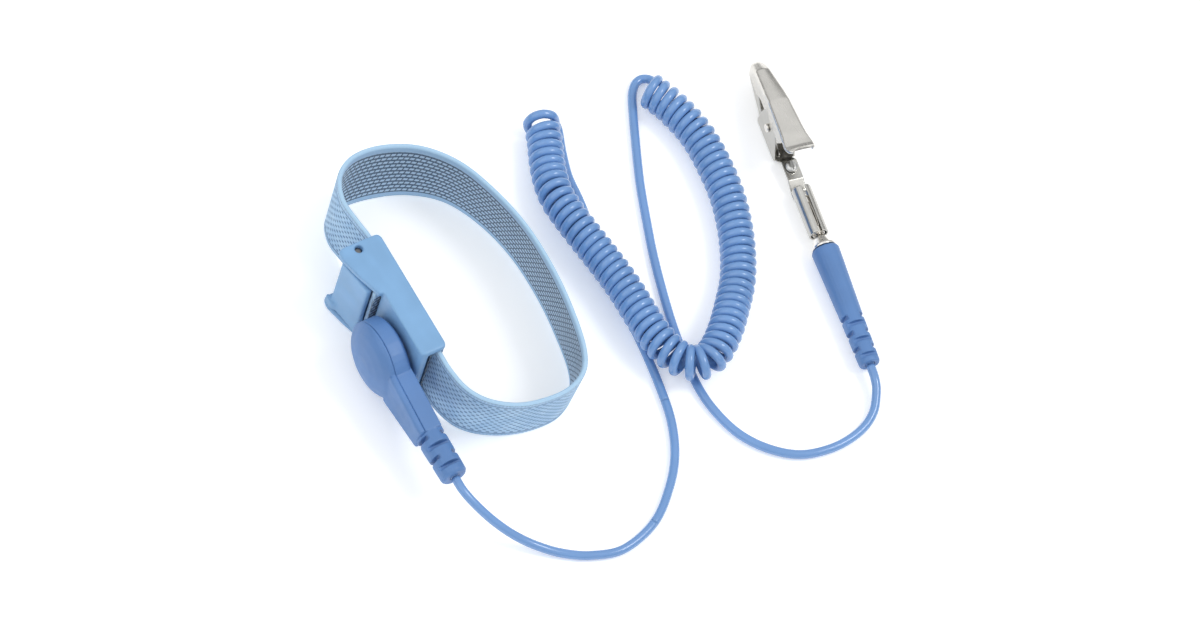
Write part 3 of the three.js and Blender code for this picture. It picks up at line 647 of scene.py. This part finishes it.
def webbing(name):
    """Knitted elastic: light stitches outside with small gaps darkened by painted shade, light floats on
    grey-blue inside.
    """
    shade = Shade(name, 0.85)
    uv = shade.add("ShaderNodeUVMap")
    uv.uv_map = "millimetres"
    split = shade.add("ShaderNodeSeparateXYZ", Vector=uv.outputs[0])
    u, v = split.outputs["X"], split.outputs["Y"]
    fuzz = shade.noise(2600, 4)
    tone = shade.remap(shade.noise(220, 3), 0.3, 0.7)

    def stitches(v, start, row_pitch, stitch, slant, long, wide):
        lanes = shade.sum("DIVIDE", shade.sum("SUBTRACT", v, start), row_pitch)
        row = shade.sum("FLOOR", lanes)
        over = shade.sum("SUBTRACT", lanes, row)
        turn = shade.sum("MULTIPLY_ADD", row, 0.5, shade.sum("DIVIDE", u, stitch))
        turn = shade.sum("FRACT", shade.sum("MULTIPLY_ADD", over, slant, turn))
        aside = shade.sum("ABSOLUTE", shade.sum("SUBTRACT", turn, 0.5))
        beside = shade.sum("ABSOLUTE", shade.sum("SUBTRACT", over, 0.5))
        lengthwise = shade.remap(aside, *long, 1.0, 0.0)
        return shade.sum("MULTIPLY", lengthwise, shade.remap(beside, *wide, 1.0, 0.0))

    inner_v = shade.sum("SUBTRACT", v, SKIN_MARK)
    gap = stitches(v, 0.0, FACE_ROW, FACE_STITCH, FACE_SLANT, GAP_LONG, GAP_WIDE)
    edge = shade.sum("MINIMUM", v, shade.sum("SUBTRACT", BAND_WIDTH, v))
    from_groove = shade.sum("ABSOLUTE", shade.sum("SUBTRACT", edge, GROOVE_PLACE))
    groove = shade.remap(from_groove, 0.1, 0.4, 1.0, 0.0)
    selvedge = shade.remap(edge, FACE_EDGE - 0.2, FACE_EDGE, 1.0, 0.0)
    ribs = shade.sum("COSINE", shade.sum("MULTIPLY", u, 2 * math.pi / RIB_PITCH))
    rib = shade.sum("MULTIPLY_ADD", ribs, 0.5, 0.5)
    gap = shade.sum("MAXIMUM", shade.sum("MULTIPLY", gap, shade.sum("SUBTRACT", 1.0, selvedge)), groove)
    gap = shade.sum("MAXIMUM", gap, shade.sum("MULTIPLY", shade.sum("MULTIPLY", rib, selvedge), 0.3))
    face = shade.blend(tone, (0.3, 0.5, 0.73), (0.4, 0.6, 0.8))
    # Painted shade: the outer face is darkened in the gaps between stitches, in the groove near each edge
    # and in the troughs between the selvedge's ribs.
    face = shade.blend(shade.sum("MULTIPLY", gap, 0.95), face, (0.07, 0.16, 0.33))
    floats = stitches(inner_v, SELVEDGE, KNIT_ROW, KNIT_STITCH, KNIT_SLANT, FLOAT_LONG, FLOAT_WIDE)
    inner_edge = shade.sum("MINIMUM", inner_v, shade.sum("SUBTRACT", BAND_WIDTH, inner_v))
    border = shade.remap(inner_edge, SELVEDGE - 0.2, SELVEDGE, 1.0, 0.0)
    skin = shade.blend(floats, (0.05, 0.095, 0.165), (0.44, 0.6, 0.77))
    skin = shade.blend(border, skin, (0.34, 0.53, 0.74))
    inside = shade.remap(v, SKIN_MARK - 2.0, SKIN_MARK - 1.0)
    rim = shade.remap(v, RIM_MARK - 4.0, RIM_MARK - 3.0)
    colour = shade.blend(rim, shade.blend(inside, face, skin), (0.4, 0.6, 0.8))
    lint = shade.sum("MULTIPLY", shade.remap(fuzz, 0.4, 0.75), 0.16)
    shade.set(Base_Color=shade.blend(lint, colour, (0.75, 0.85, 0.95)))
    shade.bump(fuzz, 0.00012, 0.6)
    shade.shader.inputs["Sheen Weight"].default_value = 0.2
    shade.shader.inputs["Specular IOR Level"].default_value = 0.25
    return shade.material


# ---- alligator clip ---------------------------------------------------------------------------------
# Places in the clip's own frame: X from the plug boot's cord exit to the jaws' tip, Z up.
THUMB_END = 56.9
JAW_TIP = 87.3
PIVOT_X = 69.7
PIVOT_Z = 1.8
TEETH = 6
TEETH_FROM = (79.4, 1.85)
TEETH_RUN = (7.4, -1.1)
TOOTH_DEPTH = 0.6
# Height of the back, and half the jaw's width, at places along X.
JAW_ROOF = [
    (THUMB_END, 11.5), (57.6, 10.9), (58.8, 10.35), (60.4, 10.05), (62.2, 9.95), (73.1, 8.85),
    (83.8, 5.75), (86.6, 4), (87.1, 3.4), (JAW_TIP, 2.6),
]
JAW_HALF_WIDTH = [
    (THUMB_END, 2.5), (57.1, 2.95), (57.5, 3.3), (58.2, 3.5), (59.2, 3.5), (60.4, 3.3), (64, 2.95),
    (70, 2.65), (76, 2.4), (81, 1.95), (85, 1.6), (86.5, 1.4), (87.1, 1.15), (JAW_TIP, 0.8),
]
WALL_HALF_WIDTH = [(THUMB_END, 3.3), (60, 3.2), (64, 2.2), (76, 2.2), (JAW_TIP, 1.28)]


def to_world(points):
    """From the clip's own frame to the shared frame."""
    c, s = math.cos(CLIP_HEADING), math.sin(CLIP_HEADING)
    turn = np.array([[c, -s, 0], [s, c, 0], [0, 0, 1]])
    return np.asarray(points, float) @ turn.T + CLIP_ORIGIN


def jaw_wall_foot(x):
    """Height of the upper jaw's lower edge: thumb lip, ear round the rivet, throat, then teeth."""
    teeth = []
    for k in range(2 * TEETH + 1):
        part = k / (2 * TEETH)
        bite = TOOTH_DEPTH if k % 2 else 0
        teeth.append((TEETH_FROM[0] + TEETH_RUN[0] * part, TEETH_FROM[1] + TEETH_RUN[1] * part - bite))
    ear_half, ear_radius, steps = 1.85, 2.0, 4
    ear = []
    for k in range(-steps, steps + 1):
        below = ear_radius * math.sin(math.acos(k / (steps + 0.3)))
        ear.append((PIVOT_X + ear_half * k / steps, PIVOT_Z - below))
    line = [
        (THUMB_END, 11.2), (58.8, 9.75), (60.6, 9.1), (61.9, 8.3), (62.6, 6.3), (64.4, 2.9), (66.6, 1.6),
        *ear, (73.2, 3.6), (76.6, 3.6), (78.4, 2.7), *teeth, (JAW_TIP, 0.9),
    ]
    return np.interp(x, *zip(*line))


def upper_jaw(material):
    """One pressed sheet: a crowned back, rounded shoulders and two side walls with teeth."""
    tooth_places = TEETH_FROM[0] + TEETH_RUN[0] * np.arange(2 * TEETH + 1) / (2 * TEETH)
    x = np.unique(np.concatenate([np.linspace(THUMB_END, JAW_TIP, 120), tooth_places]))
    top = np.interp(x, *zip(*JAW_ROOF))
    half = np.interp(x, *zip(*JAW_HALF_WIDTH))
    foot = np.minimum(jaw_wall_foot(x), top - 0.3)
    shoulder = np.minimum(0.75, 0.4 * (top - foot))
    wall = np.minimum(half - 0.05, np.interp(x, *zip(*WALL_HALF_WIDTH)))
    rows = []
    for t in np.linspace(0, 1, 8):
        rows.append((wall + (half - wall) * t, foot + (top - shoulder - foot) * t))
    for angle in np.linspace(0, math.pi / 2, 6)[1:]:
        rows.append((half - shoulder * (1 - math.cos(angle)), top - shoulder * (1 - math.sin(angle))))
    crown = 0.22
    for t in np.linspace(0, 1, 6)[1:]:
        rows.append(((half - shoulder) * (1 - t), top + crown * (1 - (1 - t) ** 2)))
    rows += [(-y, z) for y, z in rows[-2::-1]]
    grid = np.stack([np.column_stack([x, y, z]) for y, z in rows], axis=1)
    sides = len(rows)
    faces = [
        (i * sides + k, (i + 1) * sides + k, (i + 1) * sides + k + 1, i * sides + k + 1)
        for i in range(len(x) - 1) for k in range(sides - 1)
    ]
    obj = mesh_piece("clip_upper_jaw_pressed", to_world(grid.reshape(-1, 3)), faces)
    sheet = obj.modifiers.new("sheet", "SOLIDIFY")
    sheet.thickness = 0.45 * MM
    back = obj.data.polygons[len(faces) // 2]
    sheet.offset = 1.0 if back.normal.z < 0 else -1.0
    baked(obj)
    obj.data.set_sharp_from_angle(angle=math.radians(50))
    obj.data.materials.append(material)
    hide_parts("clip_upper_jaw")
    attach(obj, "clip_jaw")


def clip_spring(material):
    """Torsion spring: turns on the rivet, one leg on the floor and one under the thumb plate."""
    turns = 4.5
    radius = 1.55
    angles = np.linspace(-0.5 * math.pi, -0.5 * math.pi + 2 * math.pi * turns, 150)
    along, above = radius * np.cos(angles), radius * np.sin(angles)
    sideways = np.linspace(1.0, -1.0, len(angles))
    winding = np.column_stack([PIVOT_X + along, sideways, PIVOT_Z + above])
    lower_leg = [(63.8, 1.0, -2.75), (66, 1.0, -2.3), (68.2, 1.0, -0.6)]
    upper_leg = [(67.6, -1.0, 4.4), (65.6, -1.0, 6.2), (63.2, -1.0, 8.2)]
    line = even_steps(smooth_line(np.vstack([lower_leg, winding[2::5], upper_leg]), 6), 0.25)
    obj = tube("clip_spring_wire", to_world(line), 0.22, sides=10)
    obj.data.materials.append(material)
    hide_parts("clip_spring")
    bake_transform(obj)


# ---- the whole strap ---------------------------------------------------------------------------------
LOOKS = {
    "web": webbing("web_knit"),
    "buckle_plastic": moulding("buckle_satin", (0.205, 0.395, 0.65), 0.4),
    "snap_plastic": moulding("snap_satin", (0.1, 0.22, 0.48), 0.46),
    "cord": insulation("cord_satin", (0.155, 0.31, 0.61)),
    "steel": metal("steel_brushed", (0.58, 0.58, 0.57), 0.3, 0.2),
    "nickel": metal("nickel_bright", (0.9, 0.87, 0.82), 0.2, 0.1),
    "copper": copper_strands("copper_strands"),
    "resistor": resistor_lacquer("resistor_lacquer"),
}
# The lower jaw's nickel is darker than the other nickel: painted shade, standing in for the shadow and
# dark surroundings that its side walls show.
SHADED_JAW_NICKEL = metal("nickel_painted_shade", (0.56, 0.55, 0.52), 0.24, 0.12)
THUMB_NICKEL = metal("nickel_satin", (0.7, 0.68, 0.64), 0.26, 0.14)
PIN_STEEL = metal("steel_dark", (0.2, 0.2, 0.2), 0.4, 0.1)
OWN_LOOKS = {"clip_lower_jaw": SHADED_JAW_NICKEL, "lever_pin": PIN_STEEL}
SLOTS = {part["node"]: part["material_slot"] for part in frame["record"]["subparts"]}
BODIES = {node: body for body, names in frame["record"]["behaviour"]["bodies"].items() for node in names}
# For each moulding or small metal piece: voxel in mm, rounds of smoothing, and outward growth in mm.
FINE_VOXEL = {
    "buckle_housing": (0.3, 12, 0.04), "buckle_lever": (0.25, 9, 0.0), "snap_housing": (0.17, 4, 0.04),
    "snap_cap": (0.26, 16, 0.14), "plug_boot": (0.15, 2, 0.0), "clip_lower_jaw": (0.13, 3, 0.0),
    "banana_plug": (0.16, 2, 0.0), "clip_screw": (0.09, 2, 0.0), "clip_pivot_rivet": (0.09, 2, 0.0),
    "snap_stud": (0.14, 2, 0.0), "snap_socket": (0.13, 2, 0.0), "lever_pin": (0.14, 2, 0.0),
}

camera()
studio()

for node, (voxel, rounds, grow) in FINE_VOXEL.items():
    look = OWN_LOOKS.get(node, LOOKS[SLOTS[node]])
    moulded(node, voxel, rounds, grow, look, BODIES[node])
upper_jaw(THUMB_NICKEL)
clip_spring(LOOKS["steel"])
band(LOOKS["web"])
cords(LOOKS["cord"])

# The CAD nodes themselves, seen where no piece replaces them.
for node, slot in SLOTS.items():
    shell = nodes[node]
    shell.data.materials.clear()
    shell.data.materials.append(LOOKS[slot])
    weld = shell.modifiers.new("weld", "WELD")
    weld.merge_threshold = 0.002 * MM
    edge = shell.modifiers.new("edge", "BEVEL")
    edge.width = 0.06 * MM
    edge.segments = 2
    edge.limit_method = "ANGLE"
